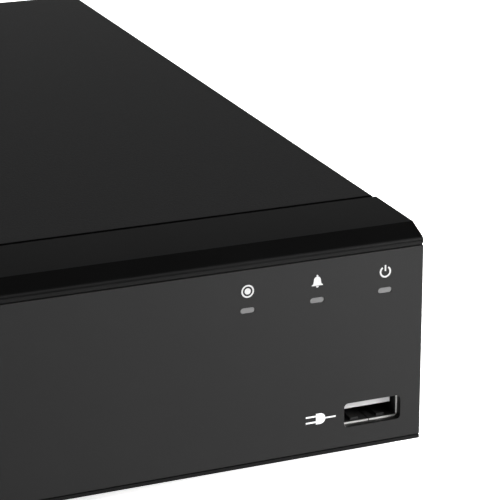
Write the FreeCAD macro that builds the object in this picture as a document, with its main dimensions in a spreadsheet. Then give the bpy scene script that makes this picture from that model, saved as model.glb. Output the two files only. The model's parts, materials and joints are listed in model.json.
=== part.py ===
import FreeCAD, Part
import math
import os
import re
import Sketcher
from FreeCAD import Placement, Rotation, Vector

# Desktop video recorder: a steel tray and cover behind a moulded front.
# Millimetres. +X right as seen from the front, the front faces -Y, +Z up, feet on z = 0.

SIZES = [
    ("caseWide", 260.0),      # outside width
    ("caseDeep", 224.0),      # front face to rear panel face
    ("jackReach", 13.0),      # how far the longest rear socket stands out
    ("footHigh", 3.0),        # rubber feet
    ("grooveUp", 42.0),       # underside of the case to the groove over the front plate
    ("topUp", 3.3),           # groove to the top face
    ("lipUp", 1.34),          # groove to the foot of the chamfer
    ("lipRound", 1.2),        # rounding between the upper lip and the chamfer
    ("lipLow", 0.75),         # height of the bottom lip
    ("lipGap", 0.3),          # step between the bottom lip and the plate
    ("lipBack", 0.25),        # depth of that step
    ("chamferBack", 5.0),     # run of the chamfer along Y
    ("stripBack", 22.5),      # front face to the seam of the cover
    ("seamGap", 0.5),         # width of that seam
    ("hemRound", 0.75),       # rounding of the front edge of the cover
    ("grooveTall", 0.5),      # height of the groove
    ("grooveBack", 0.5),      # depth of the groove
    ("plateThick", 2.6),      # front plate
    ("mouldThick", 2.2),      # walls of the front moulding
    ("sheetThick", 1.0),      # steel sheet
    ("sideGap", 0.3),         # tray to cover
    ("lampPitch", 14.7),      # spacing of the three lights
    ("lampSide", 8.3),        # last light to the right side
    ("lampDown", 8.6),        # lights below the groove
    ("lampWide", 3.0),        # light window
    ("lampTall", 1.2),
    ("portSide", 10.66),      # front socket to the right side
    ("portDown", 34.35),      # front socket below the groove
    ("portWide", 12.5),       # window of the front socket
    ("portTall", 5.2),
    ("boardUp", 8.6),         # underside of the case to the top of the main board
    ("boardThick", 1.6),
    ("driveWide", 101.6),     # 3.5 inch hard drive
    ("driveLong", 147.0),
    ("driveTall", 26.1),
    ("driveUp", 4.0),         # drive above the underside of the case
    ("driveLeft", 126.0),     # left face of the drive, measured to the left of centre
    ("driveBack", 30.0),      # front of the drive behind the front face
    ("fanSize", 40.0),
    ("fanThick", 10.0),
    ("fanX", -80.0),
    ("switchX", -42.0),
]

doc = FreeCAD.newDocument("recorder")
sheet = doc.addObject("Spreadsheet::Sheet", "Sizes")
for row, (word, number) in enumerate(SIZES, start=1):
    sheet.set(f"A{row}", word)
    sheet.set(f"B{row}", str(number))
    sheet.setAlias(f"B{row}", word)
doc.recompute()

WORDS = {word for word, _ in SIZES}
FRONT = "(-(caseDeep + jackReach) / 2)"
REAR = "((caseDeep - jackReach) / 2)"
SIDE = "(caseWide / 2)"
LOW = "footHigh"
GROOVE = "(footHigh + grooveUp)"
TOP = "(footHigh + grooveUp + topUp)"
BOARD = "(footHigh + boardUp)"
TURN = {
    "x": Rotation(Vector(0, 1, 0), 90),
    "y": Rotation(Vector(1, 0, 0), -90),
    "z": Rotation(),
}
nodes = {}


# ---------------------------------------------------------------- helpers

def ref(text):
    """An expression in which every size word is read from the sheet."""
    return re.sub(r"[A-Za-z]\w*", lambda m: "Sizes." + m[0] if m[0] in WORDS else m[0], str(text))


def value(text):
    """The number an expression stands for now."""
    return float(sheet.evalExpression(str(text)))


def bind(item, prop, text):
    item.setExpression(prop, ref(text))


def back(distance):
    """Y of a point behind the front face."""
    return f"({FRONT} + ({distance}))"


def aft(distance):
    """Y of a point behind the rear panel's face."""
    return f"({REAR} + ({distance}))"


def block(x, y, z, name="block"):
    """A box between two expressions on each axis."""
    item = doc.addObject("Part::Box", name)
    for prop, axis, (low, high) in (("Length", "x", x), ("Width", "y", y), ("Height", "z", z)):
        bind(item, prop, f"({high}) - ({low})")
        bind(item, f"Placement.Base.{axis}", low)
    return item


def around(centre, half):
    """The span that reaches half on both sides of a centre."""
    return f"({centre}) - ({half})", f"({centre}) + ({half})"


def place(item, axis, span, centre):
    """Put a part that grows along an axis at the start of its span."""
    item.Placement = Placement(Vector(), TURN[axis])
    spots = dict(zip([a for a in "xyz" if a != axis], centre))
    spots[axis] = span[0]
    for letter, text in spots.items():
        bind(item, f"Placement.Base.{letter}", text)
    return item


def rod(axis, radius, span, centre, name="rod"):
    """A cylinder along an axis; centre gives the other two coordinates."""
    item = doc.addObject("Part::Cylinder", name)
    bind(item, "Radius", radius)
    bind(item, "Height", f"({span[1]}) - ({span[0]})")
    return place(item, axis, span, centre)


def taper(axis, radii, span, centre, name="taper"):
    """A cone from the first radius to the second."""
    item = doc.addObject("Part::Cone", name)
    bind(item, "Radius1", radii[0])
    bind(item, "Radius2", radii[1])
    bind(item, "Height", f"({span[1]}) - ({span[0]})")
    return place(item, axis, span, centre)


def join(parts, name="joined"):
    if len(parts) == 1:
        return parts[0]
    item = doc.addObject("Part::MultiFuse", name)
    item.Shapes = parts
    item.Refine = True
    return item


def gather(parts, name="group"):
    """Separate solids kept together."""
    item = doc.addObject("Part::Compound", name)
    item.Links = parts
    return item


def cut(base, tools, name="cut"):
    item = doc.addObject("Part::Cut", name)
    item.Base = base
    item.Tool = join(tools)
    item.Refine = True
    return item


def node(label, item):
    """Give the finished sub-part its name."""
    item.Label = label
    nodes[label] = item
    return item


def loose(label, parts):
    """A sub-part of one or more separate solids."""
    return node(label, gather(parts, label))


def slot(axis, span, centre, wide, tall):
    """A bar with round ends, wide along X, through a span along Y."""
    half = f"(({wide}) - ({tall})) / 2"
    x, z = centre
    return join([
        block(around(x, half), span, around(z, f"({tall}) / 2")),
        rod(axis, f"({tall}) / 2", span, (f"({x}) - {half}", z)),
        rod(axis, f"({tall}) / 2", span, (f"({x}) + {half}", z)),
    ])


def new_body(label):
    body = doc.addObject("PartDesign::Body", label)
    return node(label, body)


def sketch_on(body, role, middle):
    """A sketch on one of the body's own planes, moved along X, Y or Z to a middle."""
    sketch = body.newObject("Sketcher::SketchObject", "sketch")
    plane = [p for p in body.Origin.OriginFeatures if p.Role == role][0]
    sketch.AttachmentSupport = (plane, [""])
    sketch.MapMode = "FlatFace"
    sign = "-1" if role == "XZ_Plane" else "1"
    bind(sketch, "AttachmentOffset.Base.z", f"{sign} * ({middle})")
    return sketch


def datum(sketch, kind, edge, point, text):
    """Hold one coordinate of a sketch point at an expression."""
    number = sketch.addConstraint(Sketcher.Constraint(kind, -1, 1, edge, point, value(text)))
    sketch.setExpression(f"Constraints[{number}]", ref(text))


def outline(sketch, points):
    """A closed polygon whose corners follow expressions."""
    start = sketch.GeometryCount
    spots = [Vector(value(a), value(b), 0) for a, b in points]
    count = len(points)
    for i in range(count):
        sketch.addGeometry(Part.LineSegment(spots[i], spots[(i + 1) % count]))
    for i in range(count):
        sketch.addConstraint(Sketcher.Constraint("Coincident", start + i, 2, start + (i + 1) % count, 1))
    for i, (a, b) in enumerate(points):
        datum(sketch, "DistanceX", start + i, 1, a)
        datum(sketch, "DistanceY", start + i, 1, b)


def oval(sketch, centre, wide, tall):
    """A slot with round ends, wide along the sketch's first axis."""
    start = sketch.GeometryCount
    x, y = value(centre[0]), value(centre[1])
    radius = value(f"({tall}) / 2")
    half = value(f"(({wide}) - ({tall})) / 2")
    right, left = Vector(x + half, y, 0), Vector(x - half, y, 0)
    up = Vector(0, radius, 0)
    z = Vector(0, 0, 1)
    sketch.addGeometry(Part.LineSegment(left - up, right - up))
    sketch.addGeometry(Part.ArcOfCircle(Part.Circle(right, z, radius), -math.pi / 2, math.pi / 2))
    sketch.addGeometry(Part.LineSegment(right + up, left + up))
    sketch.addGeometry(Part.ArcOfCircle(Part.Circle(left, z, radius), math.pi / 2, 3 * math.pi / 2))
    for first, second, end in ((0, 1, 1), (2, 3, 1)):
        sketch.addConstraint(Sketcher.Constraint("Tangent", start + first, 2, start + second, end))
    for first, second in ((1, 2), (3, 0)):
        sketch.addConstraint(Sketcher.Constraint("Tangent", start + first, 2, start + second, 1))
    sketch.addConstraint(Sketcher.Constraint("Horizontal", start))
    for edge, sign in ((1, "+"), (3, "-")):
        datum(sketch, "DistanceX", start + edge, 3, f"({centre[0]}) {sign} (({wide}) - ({tall})) / 2")
    datum(sketch, "DistanceY", start + 1, 3, centre[1])
    number = sketch.addConstraint(Sketcher.Constraint("Radius", start + 1, radius))
    sketch.setExpression(f"Constraints[{number}]", ref(f"({tall}) / 2"))


def rounded(sketch, centre, wide, tall, radius):
    """A rectangle with round corners about a centre."""
    x, y = value(centre[0]), value(centre[1])
    half, rise, bend = value(f"({wide}) / 2"), value(f"({tall}) / 2"), value(radius)
    corners = []
    for a, b in ((1, -1), (1, 1), (-1, 1), (-1, -1)):
        corners.append(Vector(x + a * (half - bend), y + b * (rise - bend), 0))
    ends = []
    for number, corner in enumerate(corners):
        angle = (number - 1) * math.pi / 2
        arc = Part.ArcOfCircle(Part.Circle(corner, Vector(0, 0, 1), bend), angle, angle + math.pi / 2)
        sketch.addGeometry(arc)
        ends.append((arc.StartPoint, arc.EndPoint))
    for number in range(4):
        sketch.addGeometry(Part.LineSegment(ends[number][1], ends[(number + 1) % 4][0]))
    for number in range(4):
        sketch.addConstraint(Sketcher.Constraint("Tangent", number, 2, 4 + number, 1))
        sketch.addConstraint(Sketcher.Constraint("Tangent", 4 + number, 2, (number + 1) % 4, 1))
    for line, kind in ((4, "Vertical"), (5, "Horizontal"), (6, "Vertical"), (7, "Horizontal")):
        sketch.addConstraint(Sketcher.Constraint(kind, line))
    for number in range(1, 4):
        sketch.addConstraint(Sketcher.Constraint("Equal", 0, number))
    datum(sketch, "DistanceX", 4, 1, f"({centre[0]}) + ({wide}) / 2")
    datum(sketch, "DistanceX", 6, 1, f"({centre[0]}) - ({wide}) / 2")
    datum(sketch, "DistanceY", 5, 1, f"({centre[1]}) + ({tall}) / 2")
    datum(sketch, "DistanceY", 7, 1, f"({centre[1]}) - ({tall}) / 2")
    number = sketch.addConstraint(Sketcher.Constraint("Radius", 0, bend))
    sketch.setExpression(f"Constraints[{number}]", ref(radius))


def circle(sketch, centre, radius):
    edge = sketch.GeometryCount
    spot = Vector(value(centre[0]), value(centre[1]), 0)
    sketch.addGeometry(Part.Circle(spot, Vector(0, 0, 1), value(radius)))
    datum(sketch, "DistanceX", edge, 3, centre[0])
    datum(sketch, "DistanceY", edge, 3, centre[1])
    number = sketch.addConstraint(Sketcher.Constraint("Radius", edge, value(radius)))
    sketch.setExpression(f"Constraints[{number}]", ref(radius))


def extrude(body, kind, role, span, draw):
    """A pad or pocket of a drawn sketch over a span along the plane's normal."""
    sketch = sketch_on(body, role, f"(({span[0]}) + ({span[1]})) / 2")
    draw(sketch)
    doc.recompute()
    item = body.newObject(f"PartDesign::{kind}", kind)
    item.Profile = sketch
    item.Midplane = True
    bind(item, "Length", f"({span[1]}) - ({span[0]})")
    doc.recompute()
    return item


def pad(body, role, span, draw):
    return extrude(body, "Pad", role, span, draw)


def pocket(body, role, span, draw):
    return extrude(body, "Pocket", role, span, draw)


def rectangle(low, high):
    """A drawing of a rectangle between two corners."""
    corners = [low, (high[0], low[1]), high, (low[0], high[1])]
    return lambda sketch: outline(sketch, corners)


def screws(label, axis, sign, spots, head, shank, seat, reach):
    """Pan-head screws; the head stands on the seat on the sign side and the shank goes the other way."""
    solids = []
    for spot in spots:
        far = f"({seat}) + ({sign}) * ({head[1]})"
        near = f"({seat}) - ({sign}) * ({reach})"
        outer = (seat, far) if sign > 0 else (far, seat)
        inner = (near, seat) if sign > 0 else (seat, near)
        solid = join([rod(axis, head[0], outer, spot), rod(axis, shank, inner, spot)])
        depth = f"({seat}) + ({sign}) * ({head[1]}) * 0.4"
        deep = (depth, f"{far} + 1") if sign > 0 else (f"{far} - 1", depth)
        wings = []
        for long, short in ((head[0] * 0.55, head[0] * 0.13), (head[0] * 0.13, head[0] * 0.55)):
            others = [a for a in "xyz" if a != axis]
            spans = dict(zip(others, (around(spot[0], long), around(spot[1], short))))
            spans[axis] = deep
            wings.append(block(spans["x"], spans["y"], spans["z"]))
        solids.append(cut(solid, wings))
    return loose(label, solids)


def wire(points, radius):
    """A path of straight runs joined by tangent quarter bends."""
    edges = []
    last = points[0]
    for before, corner, after in zip(points, points[1:], points[2:]):
        into = (corner - before).normalize()
        out = (after - corner).normalize()
        start = corner - into * radius
        end = corner + out * radius
        middle = corner + (out - into) * radius - (out - into).normalize() * radius
        edges.append(Part.makeLine(last, start))
        edges.append(Part.Arc(start, middle, end).toShape())
        last = end
    edges.append(Part.makeLine(last, points[-1]))
    return Part.Wire(edges)


def tube_shape(points, bend, thick):
    """A round lead along a path."""
    path = wire(points, bend)
    ring = Part.makeCircle(thick, points[0], points[1] - points[0])
    return path.makePipeShell([Part.Wire(ring)], True, False)


# ---------------------------------------------------------------- front

LAMPS = {
    "record": f"({SIDE} - lampSide - 2 * lampPitch)",
    "alarm": f"({SIDE} - lampSide - lampPitch)",
    "power": f"({SIDE} - lampSide)",
}
LAMP_Z = f"({GROOVE} - lampDown)"
PORT = (f"({SIDE} - portSide)", f"({GROOVE} - portDown)")
SPIGOTS = [("70", "12"), ("70", "41"), ("104", "24")]
TAB_X = (-95, -30, 30, 95)


def soften(body, name, y, z, radius):
    """Round the long edge that runs along X at this Y and Z."""
    edges = [
        f"Edge{number}" for number, edge in enumerate(body.Shape.Edges, start=1)
        if abs(edge.CenterOfMass.y - value(y)) < 0.01
        and abs(edge.CenterOfMass.z - value(z)) < 0.01
        and abs(edge.tangentAt(edge.FirstParameter).x) > 0.99
    ]
    solid = body.Tip
    rounding = body.newObject("PartDesign::Fillet", name)
    rounding.Base = (solid, edges)
    bind(rounding, "Radius", radius)
    doc.recompute()


def front_bezel():
    """The moulding with the top strip, the chamfer and both lips."""
    body = new_body("front_bezel")
    floor = back("plateThick + 0.1")
    rear = back("stripBack - seamGap / 2")
    pad(body, "YZ_Plane", (f"-{SIDE}", SIDE), lambda s: outline(s, [
        (FRONT, LOW),
        (rear, LOW),
        (rear, TOP),
        (back("chamferBack"), TOP),
        (FRONT, f"{GROOVE} + lipUp"),
        (FRONT, f"{GROOVE} + grooveTall / 2"),
        (floor, f"{GROOVE} + grooveTall / 2"),
        (floor, f"{LOW} + lipLow"),
        (FRONT, f"{LOW} + lipLow"),
    ]))
    soften(body, "brow", FRONT, f"{GROOVE} + lipUp", "lipRound")
    inner = back("plateThick + 0.1 + mouldThick")
    pocket(body, "XZ_Plane", (inner, back("stripBack + 2")), rectangle(
        (f"-{SIDE} + mouldThick", f"{LOW} + mouldThick"),
        (f"{SIDE} - mouldThick", f"{TOP} - mouldThick"),
    ))
    wall = (back("plateThick - 1"), back("plateThick + mouldThick + 1"))
    pocket(body, "XZ_Plane", wall, rectangle(
        (f"{PORT[0]} - 7.6", f"{PORT[1]} - 4.2"),
        (f"{PORT[0]} + 7.6", f"{PORT[1]} + 4.2"),
    ))
    for x in LAMPS.values():
        pocket(body, "XZ_Plane", wall,
               lambda s, x=x: oval(s, (x, LAMP_Z), "lampWide + 1.6", "lampTall + 1.6"))
    for x, z in SPIGOTS:
        pad(body, "XZ_Plane", (back("plateThick + 1"), back(12.4)),
            lambda s, x=x, z=z: circle(s, (x, z), "3"))
        pocket(body, "XZ_Plane", (back(6), back(13)), lambda s, x=x, z=z: circle(s, (x, z), "1.2"))
    for x in TAB_X:
        for low, high in ((f"{TOP} - mouldThick - 1.6", f"{TOP} - mouldThick + 0.5"),
                          (f"{LOW} + mouldThick - 0.5", f"{LOW} + mouldThick + 1.6")):
            pad(body, "XZ_Plane", (back("stripBack - 8"), back("stripBack + 4.5")),
                rectangle((f"{x} - 4", low), (f"{x} + 4", high)))


def front_plate():
    """The flat plate between the lips, with the windows."""
    body = new_body("front_plate")
    step = back("grooveBack")
    toe = back("lipBack")
    rear = back("plateThick")
    low = f"{LOW} + lipLow"
    pad(body, "YZ_Plane", (f"-{SIDE}", SIDE), lambda s: outline(s, [
        (FRONT, f"{low} + lipGap"),
        (toe, f"{low} + lipGap"),
        (toe, f"{low} + 0.05"),
        (rear, f"{low} + 0.05"),
        (rear, f"{GROOVE} + grooveTall / 2 - 0.05"),
        (step, f"{GROOVE} + grooveTall / 2 - 0.05"),
        (step, f"{GROOVE} - grooveTall / 2"),
        (FRONT, f"{GROOVE} - grooveTall / 2"),
    ]))
    through = (back(-1), back("plateThick + 1"))
    pocket(body, "XZ_Plane", through, lambda s: rounded(s, PORT, "portWide", "portTall", "0.9"))
    seat = (back(1.6), back("plateThick + 1"))
    pocket(body, "XZ_Plane", seat, lambda s: rounded(s, PORT, "portWide + 0.5", "portTall + 0.5", "0.3"))
    for x in LAMPS.values():
        pocket(body, "XZ_Plane", through, lambda s, x=x: oval(s, (x, LAMP_Z), "lampWide", "lampTall"))


def light_pipes():
    """Clear rods that carry each light to its window."""
    for name, x in LAMPS.items():
        shaft = slot("y", (back(0.1), back(8.6)), (x, LAMP_Z), "lampWide - 0.1", "lampTall - 0.1")
        flange = slot("y", (back("plateThick"), back("plateThick + 1.3")), (x, LAMP_Z),
                      "lampWide + 1.4", "lampTall + 1.4")
        node(f"{name}_light_pipe", join([shaft, flange]))


def usb_socket(prefix, centre, mouth, root, sign):
    """A metal shell, a tongue and four contacts; sign is the way from the mouth to the root."""
    x, z = centre

    def span(near, far):
        ends = (f"({mouth}) + ({sign}) * ({near})", f"({mouth}) + ({sign}) * ({far})")
        return ends if sign > 0 else ends[::-1]

    reach = f"abs(({root}) - ({mouth}))"
    shell = cut(
        block(around(x, 6.35), span("0", reach), around(z, 2.68)),
        [block(around(x, 6.05), span("-1", f"{reach} - 0.3"), around(z, 2.38)),
         block(around(x, 0.12), span("-1", f"{reach} + 1"), (f"{z} - 4", f"{z} - 2.3"))],
    )
    fingers = []
    for offset in (-2.9, 2.9):
        centre_x = f"{x} + {offset}"
        fingers.append(block(around(centre_x, 0.85), span("0.8", "5"), (f"{z} - 2.5", f"{z} - 1.85")))
    node(f"{prefix}_usb_shell", join([shell] + fingers))
    tongue = (f"{z} + 0.11", f"{z} + 1.95")
    node(f"{prefix}_usb_tongue", block(around(x, 5.3), span("1.4", f"{reach} - 0.3"), tongue))
    strips = []
    for offset in (-3.5, -1.0, 1.0, 3.5):
        strips.append(block(around(f"{x} + {offset}", 0.5), span("2", "8.5"), (f"{z} - 0.2", f"{z} + 0.1")))
    loose(f"{prefix}_usb_contacts", strips)


def front_electronics():
    """The small upright board behind the front, its lights and its ribbon."""
    holes = [rod("y", 1.6, (back(11), back(16)), spot) for spot in SPIGOTS]
    plate = block(("64", "126.5"), (back(12.4), back(14.0)), ("7", "45"))
    node("front_board", cut(plate, holes))
    lamps = []
    for x in LAMPS.values():
        lamps.append(block(around(x, 1.5), (back(8.8), back(12.4)), around(LAMP_Z, 1.1)))
    loose("indicator_leds", lamps)
    usb_socket("front", PORT, back(1.7), back(12.4), 1)
    screws("front_board_screws", "y", 1, SPIGOTS, (2.6, 1.6), 1.15, back(14.0), "6")
    header = block(("82", "98"), (back(14.0), back(18.5)), ("12", "17.4"))
    cores = []
    for number in range(8):
        spot = (f"{86.0 + number * 1.1}", "14.7")
        cores.append(rod("y", 0.5, (back(18.2), back("caseDeep - 114.8")), spot))
    web = block(("86", f"{86.0 + 7.7}"), (back(18.2), back("caseDeep - 114.8")), ("14.4", "15.0"))
    node("front_ribbon_cable", join([header, web] + cores))


# ---------------------------------------------------------------- case

BNC = [(x, f"{BOARD} + {up}") for up in ("7.3", "22.1") for x in ("114", "97")]
RCA = [("80", f"{BOARD} + 7.3"), ("80", f"{BOARD} + 21.3")]
VGA = ("57", f"({BOARD} + 6.4)")
HDMI = ("33", f"({BOARD} + 3.05)")
USB = ("15.5", f"({BOARD} + 2.68)")
LAN = ("-2.5", f"({BOARD} + 6.9)")
DC = ("-18", f"({BOARD} + 5.6)")
SWITCH = ("switchX", "25")
FAN = ("fanX", "25.3")
GROUND = ("-112", "13")
FEET = [(f"{side}108", y) for side in ("-", "") for y in (back(40), aft(-20))]
COVER_SCREWS = [(x, f"{TOP} - 3.9") for x in ("-112", "0", "112")]
POSTS = [(x, y) for x in ("-18", "119") for y in (aft(-108), aft(-48))]
DRIVE_X = "(-driveLeft + driveWide / 2)"
DRIVE = [(f"{DRIVE_X} {side} 47.6", back(f"driveBack + {y}")) for side in "-+" for y in (30, 107)]


def grille():
    """Ring slots in front of the fan, crossed by two bars."""
    through = (aft(-3), aft(2))
    rings = []
    for inner, outer in ((5.5, 8.0), (10.3, 12.8), (15.1, 17.6)):
        rings.append(cut(rod("y", outer, through, FAN), [rod("y", inner, (aft(-4), aft(3)), FAN)]))
    bars = []
    for angle in (45, 135):
        bar = doc.addObject("Part::Box", "bar")
        bar.Length, bar.Width, bar.Height = 44, 10, 3
        turn = Rotation(Vector(0, 1, 0), angle)
        bar.Placement = Placement(turn.multVec(Vector(-22, 0, -1.5)), turn)
        shift = bar.Placement.Base
        bind(bar, "Placement.Base.x", f"{FAN[0]} + {shift.x}")
        bind(bar, "Placement.Base.y", aft(-5))
        bind(bar, "Placement.Base.z", f"{FAN[1]} + {shift.z}")
        bars.append(bar)
    return cut(join(rings), bars)


def base_chassis():
    """The folded tray: floor, front wall, rear panel and two low sides."""
    half = f"({SIDE} - sheetThick - sideGap)"
    front = back("stripBack + seamGap / 2")
    roof = f"{TOP} - sheetThick - sideGap"
    folds = [
        block((f"-{half}", half), (front, REAR), (LOW, f"{LOW} + sheetThick")),
        block((f"-{half}", half), (front, f"{front} + sheetThick"), (LOW, roof)),
        block((f"-{half}", half), (aft("-sheetThick"), REAR), (LOW, roof)),
        block((f"-{half}", f"-{half} + sheetThick"), (front, REAR), (LOW, f"{LOW} + 13")),
        block((f"{half} - sheetThick", half), (front, REAR), (LOW, f"{LOW} + 13")),
    ]
    for side in "-+":
        rail = around(f"{DRIVE_X} {side} 46.4", 4.4)
        run = (back("driveBack + 6"), back("driveBack + 136"))
        folds.append(block(rail, run, (LOW, f"{LOW} + driveUp")))
    through = (aft(-3), aft(2))
    tools = [rod("y", 6.2, through, spot) for spot in BNC]
    tools += [rod("y", 5.0, through, spot) for spot in RCA]
    tools.append(block(around(VGA[0], 9.6), through, around(VGA[1], 5.4)))
    tools += [rod("y", 1.7, through, (f"{VGA[0]} {side} 12.5", VGA[1])) for side in "-+"]
    tools.append(block(around(HDMI[0], 7.8), through, around(HDMI[1], 3.2)))
    tools.append(block(around(USB[0], 6.8), through, around(USB[1], 3.05)))
    tools.append(block(around(LAN[0], 8.3), through, around(LAN[1], 7.1)))
    tools.append(block(around(DC[0], 4.9), through, around(DC[1], 5.8)))
    tools.append(block(around(SWITCH[0], 9.7), through, around(SWITCH[1], 7.5)))
    tools.append(rod("y", 1.55, through, GROUND))
    tools += [rod("y", 1.6, through, spot) for spot in COVER_SCREWS]
    tools += [rod("y", 2.0, through, (f"{FAN[0]} {a} 16", f"{FAN[1]} {b} 16")) for a in "-+" for b in "-+"]
    tools.append(grille())
    tools.append(block(("80", "100"), (back("stripBack - 2"), back("stripBack + 4")), ("10", "19.5")))
    for x in TAB_X:
        window = (back("stripBack - 2"), back("stripBack + 4"))
        for rise in ((f"{TOP} - mouldThick - 2.2", TOP),
                     (f"{LOW} + sheetThick + 0.4", f"{LOW} + mouldThick + 2.2")):
            tools.append(block(around(x, 4.6), window, rise))
    tools += [rod("z", 2.1, ("1", "6"), spot) for spot in FEET]
    tools += [rod("z", 1.8, ("1", "9"), spot) for spot in DRIVE]
    tools += [rod("z", 1.7, ("1", "6"), spot) for spot in POSTS]
    for number in range(11):
        y = f"driveBack + 34 + {number * 7}"
        tools.append(block(("30", "104"), (back(f"{y}"), back(f"{y} + 2.6")), ("1", "6")))
    node("base_chassis", cut(join(folds), tools))


def top_cover():
    """The U-shaped lid with vents in both sides and a screw flange at the rear."""
    body = new_body("top_cover")
    rear = aft("0.2 + sheetThick")
    front = back("stripBack + seamGap / 2")
    pad(body, "XZ_Plane", (front, rear), lambda s: outline(s, [
        (f"-{SIDE}", f"{LOW} + 0.2"),
        (f"-{SIDE} + sheetThick", f"{LOW} + 0.2"),
        (f"-{SIDE} + sheetThick", f"{TOP} - sheetThick"),
        (f"{SIDE} - sheetThick", f"{TOP} - sheetThick"),
        (f"{SIDE} - sheetThick", f"{LOW} + 0.2"),
        (SIDE, f"{LOW} + 0.2"),
        (SIDE, TOP),
        (f"-{SIDE}", TOP),
    ]))
    folds = []
    for number, edge in enumerate(body.Shape.Edges, start=1):
        middle = edge.CenterOfMass
        if abs(abs(middle.x) - value(SIDE)) < 0.01 and abs(middle.z - value(TOP)) < 0.01:
            if abs(edge.tangentAt(edge.FirstParameter).y) > 0.99:
                folds.append(f"Edge{number}")
    folded = body.Tip
    bend = body.newObject("PartDesign::Fillet", "bend")
    bend.Base = (folded, folds)
    bind(bend, "Radius", "sheetThick * 0.9")
    doc.recompute()
    soften(body, "hem", front, TOP, "hemRound")
    pad(body, "XZ_Plane", (aft(0.2), rear), rectangle(
        (f"-{SIDE} + 2", f"{TOP} - 6.6"),
        (f"{SIDE} - 2", f"{TOP} - sheetThick / 2"),
    ))
    pocket(body, "XZ_Plane", (aft(-0.5), aft(3)), rectangle(
        ("fanX - 21", f"{TOP} - 7.5"),
        ("fanX + 21", f"{TOP} - 3.2"),
    ))
    for x, z in COVER_SCREWS:
        pocket(body, "XZ_Plane", (aft(-1), aft(3)), lambda s, x=x, z=z: circle(s, (x, z), "1.6"))
    vent = pocket(body, "YZ_Plane", (f"-{SIDE} - 2", f"{SIDE} + 2"),
                  rectangle((back(96), "18"), (back(98.4), "34")))
    rows = body.newObject("PartDesign::LinearPattern", "rows")
    rows.Originals = [vent]
    rows.Direction = (vent.Profile[0], ["H_Axis"])
    rows.Length = 96
    rows.Occurrences = 17
    body.Tip = rows
    doc.recompute()


def feet():
    """Round rubber feet with a locating peg."""
    solids = []
    for spot in FEET:
        solids.append(join([
            taper("z", ("6.6", "7.4"), ("0", "0.8"), spot),
            rod("z", 7.4, ("0.8", "footHigh"), spot),
            rod("z", 2.0, ("footHigh", f"{LOW} + sheetThick + 0.8"), spot),
        ]))
    loose("rubber_feet", solids)


# ---------------------------------------------------------------- rear sockets

def video_jacks():
    """Four bayonet sockets in two stacks."""
    shells, insulators, pins = [], [], []
    for x, z in BNC:
        spot = (x, z)
        shell = join([
            rod("y", 6.0, (aft(-1.25), aft(0)), spot),
            rod("y", 6.7, (aft(0), aft(2.4)), spot),
            rod("y", 4.75, (aft(2.4), aft("jackReach - 3.6")), spot),
            rod("y", 4.83, (aft("jackReach - 3.6"), aft("jackReach")), spot),
            rod("x", 1.0, (f"{x} - 5.6", f"{x} + 5.6"), (aft("jackReach - 4.9"), z)),
        ])
        shells.append(cut(shell, [
            rod("y", 4.1, (aft(3.9), aft("jackReach + 1")), spot),
            rod("y", 1.6, (aft(-2), aft(5)), spot),
        ]))
        insulators.append(cut(
            join([rod("y", 4.05, (aft(3.9), aft(5.4)), spot), rod("y", 2.4, (aft(5.4), aft(11.4)), spot)]),
            [rod("y", 1.05, (aft(3), aft(12)), spot)],
        ))
        pins.append(cut(
            rod("y", 1.0, (aft(-1.25), aft(11.2)), spot),
            [rod("y", 0.55, (aft(6), aft(12)), spot)],
        ))
    loose("video_jack_shells", shells)
    loose("video_jack_insulators", insulators)
    loose("video_jack_contacts", pins)
    stacks = ("114", "97")
    return [block(around(x, 7.0), (aft(-15), aft(-1.25)), (BOARD, f"{BOARD} + 29.6")) for x in stacks]


def audio_jacks():
    """Sound input and output, one over the other."""
    shells, inserts = [], []
    for spot in RCA:
        flange = rod("y", 4.85, (aft(-1.25), aft(1.4)), spot)
        sleeve = rod("y", 4.15, (aft(1.4), aft(9.8)), spot)
        shells.append(cut(join([flange, sleeve]), [rod("y", 3.3, (aft(-2), aft(11)), spot)]))
        core = rod("y", 3.25, (aft(-1.25), aft(9.2)), spot)
        inserts.append(cut(core, [rod("y", 1.6, (aft(0.5), aft(10)), spot)]))
    loose("audio_jack_shells", shells)
    loose("audio_jack_inserts", inserts)
    return [block(around("80", 5.4), (aft(-13), aft(-1.25)), (BOARD, f"{BOARD} + 28"))]


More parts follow.
